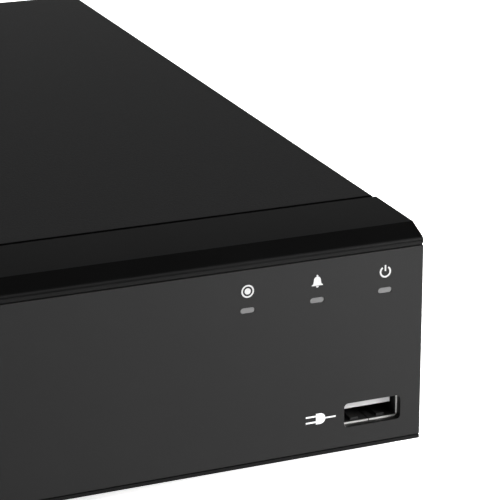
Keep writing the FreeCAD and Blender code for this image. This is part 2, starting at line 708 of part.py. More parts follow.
def monitor_jack():
    """The fifteen-way socket with its two hexagon posts."""
    x, z = VGA
    body = new_body("monitor_jack_shell")

    def wedge(grow):
        top, low, tall = 8.6 + grow, 7.4 + grow, 4.3 + grow
        return lambda s: outline(s, [
            (f"{x} - {low}", f"{z} - {tall}"),
            (f"{x} + {low}", f"{z} - {tall}"),
            (f"{x} + {top}", f"{z} + {tall}"),
            (f"{x} - {top}", f"{z} + {tall}"),
        ])

    pad(body, "XZ_Plane", (aft(-1.6), aft(6)), wedge(0))
    pad(body, "XZ_Plane", (aft(-2.4), aft(-1.2)), rectangle(
        (f"{x} - 15.4", f"{z} - 6.2"), (f"{x} + 15.4", f"{z} + 6.2")))
    pocket(body, "XZ_Plane", (aft(-3), aft(7)), wedge(-0.5))
    for side in "-+":
        pocket(body, "XZ_Plane", (aft(-3), aft(0)),
               lambda s, side=side: circle(s, (f"{x} {side} 12.5", z), "1.6"))
    insert = new_body("monitor_jack_insert")
    pad(insert, "XZ_Plane", (aft(-2.4), aft(5.4)), wedge(-0.65))

    def holes(sketch):
        for row in range(3):
            for column in range(5):
                across = f"{x} + {(column - 2) * 2.3 + (0.6 if row == 1 else 0)}"
                circle(sketch, (across, f"{z} + {(row - 1) * 2.1}"), "0.55")

    pocket(insert, "XZ_Plane", (aft(1), aft(7)), holes)
    posts = []
    for side in "-+":
        spot = (f"{x} {side} 12.5", z)
        hexagon = doc.addObject("Part::Prism", "hexagon")
        hexagon.Polygon = 6
        hexagon.Circumradius = 2.9
        hexagon.Height = 5
        place(hexagon, "y", (aft(0), aft(5)), spot)
        post = join([hexagon, rod("y", 1.5, (aft(-6), aft(0)), spot)])
        posts.append(cut(post, [rod("y", 1.3, (aft(1), aft(6)), spot)]))
    loose("monitor_jack_posts", posts)
    return [cut(
        block(around(x, 15.4), (aft(-14), aft(-2.4)), (BOARD, f"{z} + 6.2")),
        [rod("y", 1.6, (aft(-7), aft(-2)), (f"{x} {side} 12.5", z)) for side in "-+"],
    )]


def display_jack():
    """The flat digital display socket."""
    x, z = HDMI
    body = new_body("display_jack_shell")

    def flat(grow):
        return lambda s: outline(s, [
            (f"{x} - {5.2 + grow}", f"{z} - {2.75 + grow}"),
            (f"{x} + {5.2 + grow}", f"{z} - {2.75 + grow}"),
            (f"{x} + {7.2 + grow}", f"{z} - {0.6 + grow}"),
            (f"{x} + {7.2 + grow}", f"{z} + {2.45 + grow}"),
            (f"{x} - {7.2 + grow}", f"{z} + {2.45 + grow}"),
            (f"{x} - {7.2 + grow}", f"{z} - {0.6 + grow}"),
        ])

    pad(body, "XZ_Plane", (aft(-11), aft(0.8)), flat(0.3))
    pocket(body, "XZ_Plane", (aft(-10.6), aft(2)), flat(0))
    tongue = block(around(x, 6.3), (aft(-10.6), aft(-0.6)), (f"{z} + 0.3", f"{z} + 1.4"))
    node("display_jack_tongue", tongue)


def network_jack():
    """The eight-way network socket with its plug cavity."""
    x, z = LAN
    shell = cut(
        block(around(x, 8.0), (aft(-20), aft(0.6)), (BOARD, f"{z} + 6.8")),
        [block(around(x, 7.7), (aft(-19.7), aft(2)), (f"{BOARD} + 0.3", f"{z} + 6.5"))],
    )
    node("network_jack_shell", shell)
    cavity = [
        block(around(x, 5.9), (aft(-12.5), aft(2)), (f"{z} - 3.2", f"{z} + 5.2")),
        block(around(x, 3.1), (aft(-12.5), aft(2)), (f"{z} - 5.0", f"{z} - 3.0")),
    ]
    core = block(around(x, 7.6), (aft(-19.7), aft(0.3)), (f"{BOARD} + 0.3", f"{z} + 6.4"))
    node("network_jack_insert", cut(core, cavity))
    wires = []
    for number in range(8):
        across = f"{x} + {(number - 3.5) * 1.02}"
        wires.append(block(around(across, 0.22), (aft(-10.5), aft(-3.5)), (f"{z} + 4.2", f"{z} + 5.2")))
    loose("network_jack_contacts", wires)


def power_jack():
    """The low-voltage barrel socket."""
    x, z = DC
    housing = cut(
        block(around(x, 4.6), (aft(-13.5), aft(0.5)), (BOARD, f"{z} + 5.4")),
        [rod("y", 3.2, (aft(-9.5), aft(2)), DC), rod("y", 1.05, (aft(-12), aft(-9)), DC)],
    )
    node("power_jack_housing", housing)
    node("power_jack_pin", rod("y", 1.0, (aft(-12), aft(-0.6)), DC))


def power_switch():
    """A rocker in a flanged housing; it rests tilted ten degrees."""
    x, z = SWITCH
    pivot = (aft(-2.2), z)
    shell = join([
        block(around(x, 10.8), (aft(0), aft(1.6)), around(z, 8.5)),
        block(around(x, 9.4), (aft(-13), aft(0)), around(z, 7.2)),
        block(around(f"{x} - 4", 1.2), (aft(-18), aft(-13)), around(z, 0.4)),
        block(around(f"{x} + 4", 1.2), (aft(-18), aft(-13)), around(z, 0.4)),
    ])
    node("power_switch_housing", cut(shell, [
        block(around(x, 8.0), (aft(-10), aft(3)), around(z, 6.0)),
        rod("x", 1.25, around(x, 9.0), pivot),
    ]))
    body = new_body("power_rocker")

    def side(sketch):
        tilt = math.radians(10)
        points = []
        for across, up in ((-3.4, -2.6), (1.0, -4.4), (4.9, -4.9), (3.4, 0),
                           (4.9, 4.9), (1.0, 4.4), (-3.4, 2.6)):
            turned_y = across * math.cos(tilt) - up * math.sin(tilt)
            turned_z = across * math.sin(tilt) + up * math.cos(tilt)
            points.append((f"{pivot[0]} + {turned_y:.4f}", f"{pivot[1]} + {turned_z:.4f}"))
        outline(sketch, points)

    pad(body, "YZ_Plane", around(x, 7.6), side)
    pad(body, "YZ_Plane", around(x, 8.9), lambda s: circle(s, pivot, "1.2"))


def fan():
    """The rear fan: frame with a bearing disc, and a bladed rotor on a shaft."""
    x, z = FAN
    inner, outer = aft("-sheetThick - fanThick"), aft("-sheetThick")
    frame = cut(
        block(around(x, "fanSize / 2"), (inner, outer), around(z, "fanSize / 2")),
        [rod("y", "fanSize / 2 - 1.4", (aft("-2.3 - fanThick"), aft(0)), FAN)]
        + [rod("y", 1.7, (aft("-2.3 - fanThick"), aft(0)), (f"{x} {a} 16", f"{z} {b} 16"))
           for a in "-+" for b in "-+"],
    )
    disc = (inner, f"{inner} + 1.4")
    arms = [
        rod("y", 9.5, disc, FAN),
        block(around(x, 19), disc, around(z, 1.2)),
        block(around(x, 1.2), disc, around(z, 19)),
    ]
    held = cut(join([frame] + arms), [rod("y", 1.05, (f"{inner} - 1", f"{inner} + 2"), FAN)])
    node("fan_frame", held)
    hub = [
        rod("y", 9.0, (f"{inner} + 1.9", aft(-2.4)), FAN),
        rod("y", 1.0, (f"{inner} + 0.2", f"{inner} + 2.2"), FAN),
    ]
    for number in range(7):
        spin = Rotation(Vector(0, 1, 0), number * 360 / 7)
        turn = spin.multiply(Rotation(Vector(1, 0, 0), 38))
        blade = doc.addObject("Part::Box", "blade")
        blade.Length, blade.Width, blade.Height = 9.2, 0.9, 8.0
        start = turn.multVec(Vector(0, -0.45, -4.0)) + spin.multVec(Vector(8.4, 0, 0))
        blade.Placement = Placement(start, turn)
        bind(blade, "Placement.Base.x", f"{x} + ({start.x})")
        bind(blade, "Placement.Base.y", f"{inner} + 5.4 + ({start.y})")
        bind(blade, "Placement.Base.z", f"{z} + ({start.z})")
        hub.append(blade)
    node("fan_rotor", join(hub))
    spots = [(f"{x} {a} 16", f"{z} {b} 16") for a in "-+" for b in "-+"]
    screws("fan_screws", "y", 1, spots, (2.9, 1.7), 1.6, REAR, "9")


# ---------------------------------------------------------------- main board

def main_board():
    """The large board on four posts, with its parts."""
    holes = [rod("z", 1.7, ("5", "20"), spot) for spot in POSTS]
    plate = block(("-23", "124"), (aft(-113), aft(-1.3)), (f"{BOARD} - boardThick", BOARD))
    node("main_board", cut(plate, holes))
    posts = []
    for x, y in POSTS:
        post = doc.addObject("Part::Prism", "post")
        post.Polygon = 6
        post.Circumradius = 3.0
        bind(post, "Height", f"{BOARD} - boardThick - ({LOW} + sheetThick)")
        place(post, "z", (f"{LOW} + sheetThick", "0"), (x, y))
        stem = rod("z", 1.6, (LOW, f"{LOW} + sheetThick"), (x, y))
        posts.append(cut(join([post, stem]), [rod("z", 1.3, (f"{LOW} + 2", f"{BOARD}"), (x, y))]))
    loose("board_standoffs", posts)
    screws("main_board_screws", "z", 1, POSTS, (2.8, 1.7), 1.25, BOARD, "5.5")
    node("processor", block(around("60", 13.5), (aft(-77), aft(-50)), (BOARD, f"{BOARD} + 2")))
    sink = [block(around("60", 17.5), (aft(-81), aft(-46)), (f"{BOARD} + 2", f"{BOARD} + 4.5"))]
    for number in range(9):
        fin = around(f"60 + {(number - 4) * 4.1}", 0.6)
        sink.append(block(fin, (aft(-81), aft(-46)), (f"{BOARD} + 4.5", f"{BOARD} + 14")))
    node("heat_sink", join(sink))
    chips = []
    for number in range(4):
        x = f"{88 + (number % 2) * 16}"
        y = aft(f"{-75 + (number // 2) * 18}")
        chips.append(block(around(x, 5.2), (f"{y} - 6.5", f"{y} + 6.5"), (BOARD, f"{BOARD} + 1.1")))
    loose("memory_chips", chips)
    cans = []
    for number in range(5):
        spot = (f"{3 + number * 11}", aft(-43 if number % 2 else -37))
        radius, tall = (3.1, 8) if number % 2 else (4.0, 11)
        cans.append(rod("z", radius, (BOARD, f"{BOARD} + {tall}"), spot))
    loose("capacitors", cans)
    spot = ("16", aft(-92))
    holder = cut(
        rod("z", 12.2, (BOARD, f"{BOARD} + 4.6"), spot),
        [rod("z", 10.15, (f"{BOARD} + 1.2", f"{BOARD} + 6"), spot)],
    )
    node("coin_cell_holder", holder)
    node("coin_cell", join([
        rod("z", 10.0, (f"{BOARD} + 1.2", f"{BOARD} + 3.7"), spot),
        rod("z", 8.6, (f"{BOARD} + 3.7", f"{BOARD} + 4.4"), spot),
    ]))
    loose("board_headers", [
        block(("82", "98"), (aft(-114.8), aft(-106)), (BOARD, f"{BOARD} + 6")),
        block(("-21", "-13"), (aft(-41), aft(-31)), (BOARD, f"{BOARD} + 7")),
        block(("-21", "-13"), (aft(-29), aft(-16)), (BOARD, f"{BOARD} + 7")),
        block(("-3", "5"), (aft(-31), aft(-25)), (BOARD, f"{BOARD} + 7")),
    ])


# ---------------------------------------------------------------- hard drive

def hard_drive():
    """The 3.5 inch drive on the rails: casting, lid, board, platters and arm."""
    low, high = f"({LOW} + driveUp)", f"({LOW} + driveUp + driveTall)"
    x0, x1 = "-driveLeft", "(-driveLeft + driveWide)"
    y0, y1 = back("driveBack"), back("driveBack + driveLong")
    spindle = (DRIVE_X, f"{y0} + 51.2")
    pivot = (f"{DRIVE_X} + 26", f"{y0} + 117")
    floor, roof = f"{low} + 7", f"{high} - 1.2"
    case = cut(block((x0, x1), (y0, y1), (f"{low}", roof)), [
        rod("z", 48.4, (floor, f"{high} + 1"), spindle),
        block(around(DRIVE_X, 42), (f"{y0} + 84", f"{y0} + 141"), (floor, f"{high} + 1")),
        block(around(DRIVE_X, 40), (f"{y0} + 12", f"{y0} + 132"), (f"{low} - 1", f"{low} + 2.4")),
        block(around(DRIVE_X, 34), (f"{y0} + 141.5", f"{y1} + 1"), (f"{low} + 3", f"{low} + 12")),
    ] + [rod("z", 1.55, (f"{low} - 1", f"{low} + 5"), spot) for spot in DRIVE]
      + [rod("z", 3.05, (f"{floor} - 3", f"{floor} + 1"), spot) for spot in (spindle, pivot)])
    node("drive_case", case)
    rim = block((f"{x0} + 0.6", f"{x1} - 0.6"), (f"{y0} + 0.6", f"{y1} - 6"), (roof, f"{high} - 0.2"))
    press = rod("z", 30, (f"{high} - 0.5", f"{high} + 0.4"), spindle)
    node("drive_lid", cut(rim, [press]))
    plug_z = f"{low} + 7.6"
    socket = join([
        block(around(DRIVE_X, 33.5), (f"{y1} - 5.4", f"{y1} - 3.0"), (f"{low} + 3.4", f"{low} + 11.6")),
        block(around(DRIVE_X, 32), (f"{y1} - 3.0", f"{y1} - 0.8"), (f"{plug_z} - 0.6", f"{plug_z} + 0.6")),
    ])
    run = (f"{y0} + 12.4", f"{y0} + 131.6")
    panel = block(around(DRIVE_X, 39.6), run, (f"{low} + 0.8", f"{low} + 2.4"))
    loose("drive_board", [panel, socket])
    discs = [rod("z", 3.0, (f"{floor} - 2.8", f"{floor} + 1"), spindle),
             rod("z", 13.5, (f"{floor} + 0.6", f"{roof} - 1"), spindle)]
    for lift in (4.5, 10.5):
        discs.append(rod("z", 47.5, (f"{floor} + {lift}", f"{floor} + {lift + 1.3}"), spindle))
    node("drive_platters", join(discs))
    arm = new_body("drive_arm")
    reach_x, reach_y = -34.0, -38.0
    length = math.hypot(reach_x, reach_y)
    along = (reach_x / length, reach_y / length)
    across = (-along[1], along[0])

    def bar(sketch):
        corners = []
        for distance, half in ((-4, 6.5), (length, 1.6), (length, -1.6), (-4, -6.5)):
            dx = along[0] * distance + across[0] * half
            dy = along[1] * distance + across[1] * half
            corners.append((f"{pivot[0]} + ({dx:.4f})", f"{pivot[1]} + ({dy:.4f})"))
        outline(sketch, corners)

    pad(arm, "XY_Plane", (f"{floor} + 0.6", f"{roof} - 1.2"), lambda s: circle(s, pivot, "8"))
    pad(arm, "XY_Plane", (f"{floor} - 2.8", f"{floor} + 1"), lambda s: circle(s, pivot, "3.0"))
    for lift in (2.4, 7.4, 13.2):
        pad(arm, "XY_Plane", (f"{floor} + {lift}", f"{floor} + {lift + 1.2}"), bar)
    screws("drive_screws", "z", -1, DRIVE, (2.9, 1.5), 1.45, LOW, "8")


def lead_feature(label, shapes):
    """A held lead, swept along a bent path that the primitives do not offer."""
    item = doc.addObject("Part::Feature", label)
    whole = shapes[0].multiFuse(shapes[1:]) if len(shapes) > 1 else shapes[0]
    item.Shape = whole.removeSplitter()
    item.Placement = Placement()
    return node(label, item)


def plug_shape(x, y, z):
    return Part.makeBox(x[1] - x[0], y[1] - y[0], z[1] - z[0], Vector(x[0], y[0], z[0]))


def leads():
    """The drive's two leads and the fan's lead."""
    low = value(f"{LOW} + driveUp")
    end = value(back("driveBack + driveLong"))
    middle = value(DRIVE_X)
    z = value(BOARD) + 3.5
    rear = value(REAR)
    for label, x, half, y, count, gap in (("drive_data_cable", middle + 22, 7.0, rear - 36, 2, 3.4),
                                          ("drive_power_cable", middle - 12, 11.0, rear - 22.5, 4, 2.4)):
        mouth = plug_shape((x - half, x + half), (end - 0.8, end + 7), (z - 3.2, z + 3.2))
        reach = 4.4 if count == 2 else 6.0
        board_end = plug_shape((-27.5, -21.0), (y - reach, y + reach), (z - 3.0, z + 3.0))
        shapes = [mouth, board_end]
        for number in range(count):
            shift = (number - (count - 1) / 2) * gap
            run = y + shift
            path = [Vector(x - shift, end + 6, z), Vector(x - shift, run, z), Vector(-26, run, z)]
            shapes.append(tube_shape(path, 3.0, 0.9))
        lead_feature(label, shapes)
    x = value(FAN[0]) + 17.8
    y = value(aft("-sheetThick - fanThick"))
    top = value(BOARD) + 7
    shapes = []
    for number in range(3):
        step = number * 1.5
        high, run, across = 35.5 - step, rear - 26.5 - step, 2.5 - step
        path = [
            Vector(x, y, high),
            Vector(x, run, high),
            Vector(across, run, high),
            Vector(across, run, top + 1.5),
        ]
        shapes.append(tube_shape(path, 3.0, 0.6))
    shapes.append(plug_shape((-2.5, 4.5), (rear - 30.7, rear - 25.3), (top, top + 3)))
    lead_feature("fan_lead", shapes)


front_bezel()
front_plate()
light_pipes()
front_electronics()
base_chassis()
top_cover()
screws("cover_screws", "y", 1, COVER_SCREWS, (2.8, 1.8), 1.45, aft("0.2 + sheetThick"), "5")
feet()
loose("jack_blocks", video_jacks() + audio_jacks() + monitor_jack())
display_jack()
network_jack()
usb_socket("rear", USB, aft(0.8), aft(-13), -1)
power_jack()
power_switch()
fan()
screws("ground_screw", "y", 1, [GROUND], (3.0, 2.0), 1.45, REAR, "6")
main_board()
hard_drive()
leads()
doc.recompute()

for item in doc.Objects:
    if "Invalid" in item.State or "Error" in item.State:
        raise RuntimeError(f"{item.Label} did not compute")
os.makedirs("parts", exist_ok=True)
for label, item in nodes.items():
    shape = item.Shape
    if shape.isNull() or not shape.isValid() or not shape.Solids:
        raise RuntimeError(f"{label} has no valid solid")
    shape.exportStep(f"parts/{label}.step")
print(len(nodes), "sub-parts")
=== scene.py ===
import json
import math
import random

import bmesh
import bpy
from mathutils import Matrix, Vector


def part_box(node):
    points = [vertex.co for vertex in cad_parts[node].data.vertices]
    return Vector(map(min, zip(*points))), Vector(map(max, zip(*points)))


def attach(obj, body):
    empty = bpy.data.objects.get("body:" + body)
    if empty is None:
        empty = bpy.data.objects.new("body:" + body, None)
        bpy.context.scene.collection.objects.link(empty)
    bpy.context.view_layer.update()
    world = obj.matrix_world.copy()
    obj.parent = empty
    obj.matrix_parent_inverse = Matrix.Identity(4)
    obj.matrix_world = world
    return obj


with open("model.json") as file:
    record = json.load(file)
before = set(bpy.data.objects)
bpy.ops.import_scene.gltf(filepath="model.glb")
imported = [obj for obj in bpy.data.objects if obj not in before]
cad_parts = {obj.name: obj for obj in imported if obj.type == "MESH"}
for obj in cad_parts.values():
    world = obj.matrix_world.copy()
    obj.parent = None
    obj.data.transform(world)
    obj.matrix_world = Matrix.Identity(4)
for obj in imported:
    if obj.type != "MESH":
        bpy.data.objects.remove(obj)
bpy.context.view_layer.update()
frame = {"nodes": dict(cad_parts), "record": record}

MM = 0.001
NODES = frame["nodes"]
ROOT = "recorder"
scene = bpy.context.scene


# ---------------------------------------------------------------- camera

plate_low, plate_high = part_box("front_plate")
corner = Vector((plate_high.x, plate_low.y, plate_high.z - 0.2 * MM))
CAMERA_STEP = Vector((-185.0, -365.7, 142.7)) * MM  # from the top right corner of the plate to the lens
CAMERA_TURN = (22.01, 19.40, -0.24)  # degrees to the right, down and about the line of sight
CAMERA_LENS = 156.9  # mm, on a 36 mm sensor


def make_camera():
    """A long lens to the left of the front and above it, with no shift."""
    data = bpy.data.cameras.new("camera")
    camera = bpy.data.objects.new("camera", data)
    scene.collection.objects.link(camera)
    yaw, pitch, roll = (math.radians(angle) for angle in CAMERA_TURN)
    ahead = Vector((math.sin(yaw) * math.cos(pitch), math.cos(yaw) * math.cos(pitch), -math.sin(pitch)))
    side = Vector((math.cos(yaw), -math.sin(yaw), 0.0))
    above = side.cross(ahead)
    right = side * math.cos(roll) + above * math.sin(roll)
    up = above * math.cos(roll) - side * math.sin(roll)
    turn = Matrix((right, up, -ahead)).transposed().to_4x4()
    camera.matrix_world = Matrix.Translation(corner + CAMERA_STEP) @ turn
    data.sensor_width = 36.0
    data.lens = CAMERA_LENS
    data.clip_start = 0.01
    data.clip_end = 20.0
    scene.camera = camera


make_camera()


# ---------------------------------------------------------------- materials

NOISE_LOW, NOISE_HIGH = 0.3, 0.7  # the span that most of a noise pattern falls in


def grey(value):
    """A neutral linear colour."""
    return (value, value, value, 1.0)


def tint(base, share=1.0):
    """A colour from three linear values, darkened or lightened by a share."""
    return tuple(min(1.0, value * share) for value in base) + (1.0,)


class Maker:
    """Builds one procedural material around a Principled shader."""

    def __init__(self, name, roughness=0.5, metallic=0.0, specular=0.5):
        self.material = bpy.data.materials.new(name)
        self.material.use_nodes = True
        self.nodes = self.material.node_tree.nodes
        self.links = self.material.node_tree.links
        self.shader = self.nodes["Principled BSDF"]
        self.shader.inputs["Roughness"].default_value = roughness
        self.shader.inputs["Metallic"].default_value = metallic
        self.shader.inputs["Specular IOR Level"].default_value = specular
        self.point = self.nodes.new("ShaderNodeTexCoord").outputs["Object"]

    def node(self, kind, **inputs):
        item = self.nodes.new(kind)
        for name, value in inputs.items():
            socket = item.inputs[name.replace("_", " ")]
            if isinstance(value, bpy.types.NodeSocket):
                self.links.new(value, socket)
            else:
                socket.default_value = value
        return item

    def noise(self, scale, detail=3.0, rough=0.5, stretch=None):
        vector = self.point
        if stretch:
            mapping = self.node("ShaderNodeMapping", Vector=vector, Scale=stretch)
            vector = mapping.outputs["Vector"]
        item = self.node("ShaderNodeTexNoise", Vector=vector, Scale=scale, Detail=detail, Roughness=rough)
        return item.outputs["Fac"]

    def along(self, axis, start, end):
        """A value that runs from 0 to 1 between two places on an axis of the object."""
        parts = self.node("ShaderNodeSeparateXYZ", Vector=self.point)
        item = self.node("ShaderNodeMapRange", Value=parts.outputs[axis], From_Min=start, From_Max=end)
        return item.outputs["Result"]

    def ramp(self, fac, stops):
        item = self.node("ShaderNodeValToRGB", Fac=fac)
        elements = item.color_ramp.elements
        while len(elements) < len(stops):
            elements.new(0.5)
        for element, (position, colour) in zip(elements, stops):
            element.position = position
            element.color = colour
        return item.outputs["Color"]

    def blend(self, fac, first, second):
        """A mix of two colours, each a socket or a value."""
        item = self.nodes.new("ShaderNodeMix")
        item.data_type = "RGBA"
        for name, value in (("Factor", fac), ("A", first), ("B", second)):
            socket = [s for s in item.inputs if s.name == name and s.enabled][0]
            if isinstance(value, bpy.types.NodeSocket):
                self.links.new(value, socket)
            else:
                socket.default_value = value
        return [s for s in item.outputs if s.enabled][0]

    def colour(self, output):
        self.links.new(output, self.shader.inputs["Base Color"])
        return self

    def rough(self, fac, low, high):
        item = self.node("ShaderNodeMapRange", Value=fac, To_Min=low, To_Max=high,
                         From_Min=NOISE_LOW, From_Max=NOISE_HIGH)
        self.links.new(item.outputs["Result"], self.shader.inputs["Roughness"])
        return self

    def bump(self, fac, strength, depth):
        item = self.node("ShaderNodeBump", Height=fac, Strength=strength, Distance=depth)
        previous = self.shader.inputs["Normal"]
        if previous.is_linked:
            self.links.new(previous.links[0].from_socket, item.inputs["Normal"])
        self.links.new(item.outputs["Normal"], previous)
        return self


def powder_coat():
    """Black powder-coated steel with a fine grain, with painted shade along the rounded front edge of the
    cover.
    """
    m = Maker("powder_coat", specular=0.5)
    fine = m.noise(2600.0, 2.0, 0.6)
    coat = m.ramp(fine, [(0.3, (0.0050, 0.0050, 0.0052, 1)), (0.7, (0.0088, 0.0088, 0.0091, 1))])
    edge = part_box("top_cover")[0].y
    # Painted shade: within 0.8 mm of the front edge the colour fades to near black and the shader turns
    # metallic, which takes away the gloss there.
    shade = m.along("Y", edge + 0.8 * MM, edge + 0.5 * MM)
    m.colour(m.blend(shade, coat, grey(0.003)))
    m.links.new(shade, m.shader.inputs["Metallic"])
    m.rough(fine, 0.52, 0.56)
    return m.bump(fine, 0.7, 0.00008).material


def moulded(name, dark, light, rough, grain=4000.0, depth=0.00001, specular=0.5):
    """Moulded plastic with a faint texture and slightly uneven gloss."""
    m = Maker(name, specular=specular)
    fine = m.noise(grain, 2.0, 0.5)
    broad = m.noise(45.0, 3.0, 0.5)
    m.colour(m.ramp(broad, [(NOISE_LOW, dark), (NOISE_HIGH, light)]))
    m.rough(broad, rough - 0.02, rough + 0.03)
    return m.bump(fine, 0.35, depth).material


def metal(name, base, rough, stretch=None):
    """Bare or plated metal with fine brushing."""
    m = Maker(name, metallic=1.0)
    fine = m.noise(900.0, 3.0, 0.6, stretch)
    broad = m.noise(120.0, 2.0)
    m.colour(m.ramp(broad, [(NOISE_LOW, tint(base, 0.82)), (NOISE_HIGH, tint(base))]))
    m.rough(fine, rough - 0.06, rough + 0.08)
    return m.bump(fine, 0.25, 0.00002).material


PAINTED_SHADE_FADE = 0.3  # mm over which painted shade darkens the inside of a socket


def socket_metal(name, node, base, rough, bright, sign):
    """Plated sheet that is bright at the mouth of its socket, with painted shade darkening it inside."""
    m = Maker(name, metallic=0.4)
    low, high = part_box(node)
    mouth = low.y if sign > 0 else high.y
    fine = m.noise(900.0, 3.0, 0.6)
    plated = m.ramp(m.noise(120.0, 2.0), [(NOISE_LOW, tint(base, 0.85)), (NOISE_HIGH, tint(base))])
    # Painted shade: deeper than the mouth the plating fades to dark grey, standing in for the shade inside
    # the socket.
    depth = m.along("Y", mouth + sign * bright * MM, mouth + sign * (bright + PAINTED_SHADE_FADE) * MM)
    m.colour(m.blend(depth, plated, grey(0.022)))
    return m.rough(fine, rough - 0.05, rough + 0.08).material


def socket_plastic(name, node, base, bright, sign):
    """Moulded tongue, pale at its nose, with painted shade darkening it behind the nose."""
    m = Maker(name, roughness=0.5)
    low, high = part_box(node)
    nose = low.y if sign > 0 else high.y
    pale = m.ramp(m.noise(300.0), [(NOISE_LOW, grey(base * 0.92)), (NOISE_HIGH, grey(base))])
    # Painted shade: behind the nose the pale plastic fades to near black, standing in for the shade in the
    # socket.
    depth = m.along("Y", nose + sign * bright * MM, nose + sign * (bright + PAINTED_SHADE_FADE) * MM)
    m.colour(m.blend(depth, pale, grey(0.010)))
    return m.bump(m.noise(2500.0), 0.3, 0.00001).material


def circuit(name, base):
    """Solder mask with a faint weave of glass cloth under it."""
    m = Maker(name, roughness=0.32, specular=0.5)
    cloth = m.node("ShaderNodeTexBrick", Vector=m.point, Scale=900.0, Mortar_Size=0.02)
    spread = m.noise(60.0, 3.0)
    m.colour(m.ramp(spread, [(0.4, tint(base, 0.75)), (0.6, tint(base, 1.25))]))
    m.rough(spread, 0.28, 0.4)
    return m.bump(cloth.outputs["Fac"], 0.15, 0.00001).material


MATERIALS = {
    "case_paint": powder_coat(),
    "front_plastic": moulded("front_plastic", grey(0.0036), grey(0.0042), 0.30, specular=0.085),
    "plate_plastic": moulded("plate_plastic", grey(0.0078), grey(0.0090), 0.34, specular=0.16),
    "lens": moulded("lens", grey(0.095), grey(0.11), 0.34),
    "screw_steel": metal("screw_steel", (0.62, 0.61, 0.58), 0.32),
    "rubber": moulded("rubber", grey(0.012), grey(0.02), 0.8, 1500.0, 0.00005),
    "board_green": circuit("board_green", (0.012, 0.11, 0.045)),
    "nickel": metal("nickel", (0.74, 0.72, 0.68), 0.22),
    "gold": metal("gold", (0.83, 0.62, 0.27), 0.25),
    "pale_plastic": moulded("pale_plastic", (0.50, 0.50, 0.47, 1), (0.58, 0.58, 0.55, 1), 0.45),
    "black_plastic": moulded("black_plastic", grey(0.010), grey(0.016), 0.45),
    "blue_plastic": moulded("blue_plastic", (0.010, 0.030, 0.16, 1), (0.014, 0.042, 0.21, 1), 0.42),
    "chip": moulded("chip", (0.012, 0.012, 0.013, 1), (0.02, 0.02, 0.021, 1), 0.55, 2500.0, 0.00003),
    "sink": metal("sink", (0.36, 0.38, 0.41), 0.42, (1.0, 12.0, 1.0)),
    "can": metal("can", (0.62, 0.62, 0.64), 0.3),
    "cell": metal("cell", (0.50, 0.50, 0.51), 0.36, (1.0, 6.0, 1.0)),
    "casting": metal("casting", (0.42, 0.43, 0.44), 0.5),
    "disc": metal("disc", (0.88, 0.88, 0.89), 0.06),
    "lead_jacket": moulded("lead_jacket", (0.30, 0.012, 0.010, 1), (0.38, 0.018, 0.014, 1), 0.5),
    "ribbon": moulded("ribbon", grey(0.33), grey(0.41), 0.5),
}
INK = moulded("grey_ink", grey(0.46), grey(0.50), 0.5)
BRIGHT_INK = moulded("white_ink", grey(0.72), grey(0.78), 0.5)
CERAMIC = moulded("ceramic", (0.24, 0.15, 0.08, 1), (0.32, 0.20, 0.11, 1), 0.45)
SOLDER = metal("solder", (0.70, 0.70, 0.71), 0.3)
TRACK = moulded("track", (0.016, 0.155, 0.060, 1), (0.022, 0.19, 0.075, 1), 0.3)
LABEL = moulded("label", grey(0.55), grey(0.60), 0.45, 1500.0)
BAND = moulded("label_band", (0.03, 0.09, 0.16, 1), (0.04, 0.11, 0.19, 1), 0.4)

slot_of = {entry["node"]: entry["material_slot"] for entry in frame["record"]["subparts"]}
for name, item in NODES.items():
    item.data.materials.clear()
    item.data.materials.append(MATERIALS[slot_of[name]])
PLATE = (0.92, 0.91, 0.89)
BRASS = (0.5, 0.38, 0.17)
# The socket shells, tongues and contacts get materials with painted shade inside their mouths.
SPECIAL = {
    "front_usb_shell": socket_metal("front_socket_metal", "front_usb_shell", PLATE, 0.42, 0.1, 1),
    "rear_usb_shell": socket_metal("rear_socket_metal", "rear_usb_shell", PLATE, 0.42, 0.1, -1),
    "front_usb_tongue": socket_plastic("front_tongue", "front_usb_tongue", 0.62, 0.25, 1),
    "rear_usb_tongue": socket_plastic("rear_tongue", "rear_usb_tongue", 0.62, 0.25, -1),
    "front_usb_contacts": socket_metal("front_contacts", "front_usb_contacts", BRASS, 0.35, 0.0, 1),
}
for name, material in SPECIAL.items():
    NODES[name].data.materials[0] = material


# ---------------------------------------------------------------- soft edges on the CAD parts

EDGES = {  # width of the eased edges, in mm
    "front_bezel": 0.32, "front_plate": 0.12, "top_cover": 0.2, "base_chassis": 0.08,
    "rubber_feet": 0.3, "front_usb_shell": 0.06, "front_usb_tongue": 0.1,
    "power_switch_housing": 0.3, "power_rocker": 0.3, "fan_frame": 0.25, "fan_rotor": 0.12,
    "heat_sink": 0.08, "capacitors": 0.4, "drive_case": 0.4, "drive_lid": 0.1,
    "network_jack_shell": 0.1, "power_jack_housing": 0.15, "monitor_jack_shell": 0.1,
    "video_jack_shells": 0.1, "audio_jack_shells": 0.12, "processor": 0.15, "memory_chips": 0.08,
}
for name, width in EDGES.items():
    bevel = NODES[name].modifiers.new("soft_edge", "BEVEL")
    bevel.width = width * MM
    bevel.segments = 2
    bevel.limit_method = "ANGLE"
    bevel.angle_limit = math.radians(35)
    bevel.harden_normals = False


# ---------------------------------------------------------------- mesh helpers

def add_prism(bm, outline, spot):
    """A closed prism: an outline of (u, v) points, placed by spot(u, v, side) for side 0 and 1."""
    rings = [[bm.verts.new(spot(u, v, side)) for u, v in outline] for side in (0, 1)]
    bm.faces.new(rings[0][::-1])
    bm.faces.new(rings[1])
    count = len(outline)
    for i in range(count):
        j = (i + 1) % count
        bm.faces.new((rings[0][i], rings[0][j], rings[1][j], rings[1][i]))


